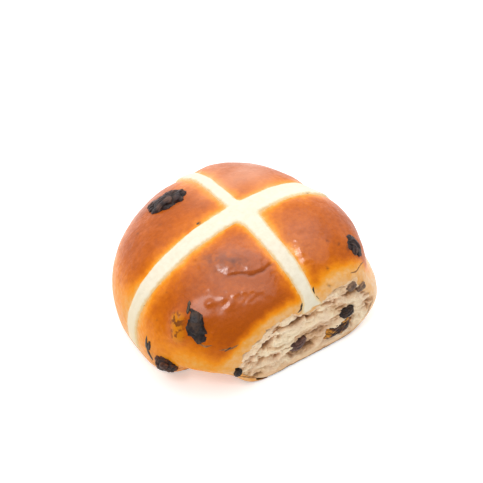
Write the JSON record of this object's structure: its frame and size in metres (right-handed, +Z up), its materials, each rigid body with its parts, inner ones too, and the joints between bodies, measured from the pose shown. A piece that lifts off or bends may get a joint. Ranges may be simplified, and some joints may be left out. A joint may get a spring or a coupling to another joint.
{
  "type": "hot cross bun",
  "caption": "Glazed fruit bun with a piped flour-paste cross, raisins in the crust, and one side pulled apart from its batch to show pale crumb.",
  "frame": {"origin": "under the middle of the whole box, on the surface that the bun stands on", "axes": "+Z up out of the dome, -Y out of the pulled side, +X to the right as seen from the pulled side; the arms of the cross run nearly along X and Y"},
  "size_m": [0.0842, 0.0778, 0.0412],
  "materials": {
    "crust": "glossy sugar glaze over baked brown crust",
    "crumb": "matte torn bread crumb",
    "paste": "matte baked flour paste",
    "raisin": "wrinkled dried fruit, slightly glossy"
  },
  "bodies": {
    "root": {"bun": "crust", "cross": "paste", "raisin_left_shoulder": "raisin", "raisin_front": "raisin", "raisin_right_shoulder": "raisin", "raisin_foot_left": "raisin", "raisin_slit_left": "raisin", "raisin_torn_upper": "raisin", "raisin_torn_lower": "raisin", "raisin_torn_middle": "raisin", "raisin_torn_corner": "raisin", "raisin_torn_top_left": "raisin", "raisin_torn_top_right": "raisin"}
  },
  "joints": []
}
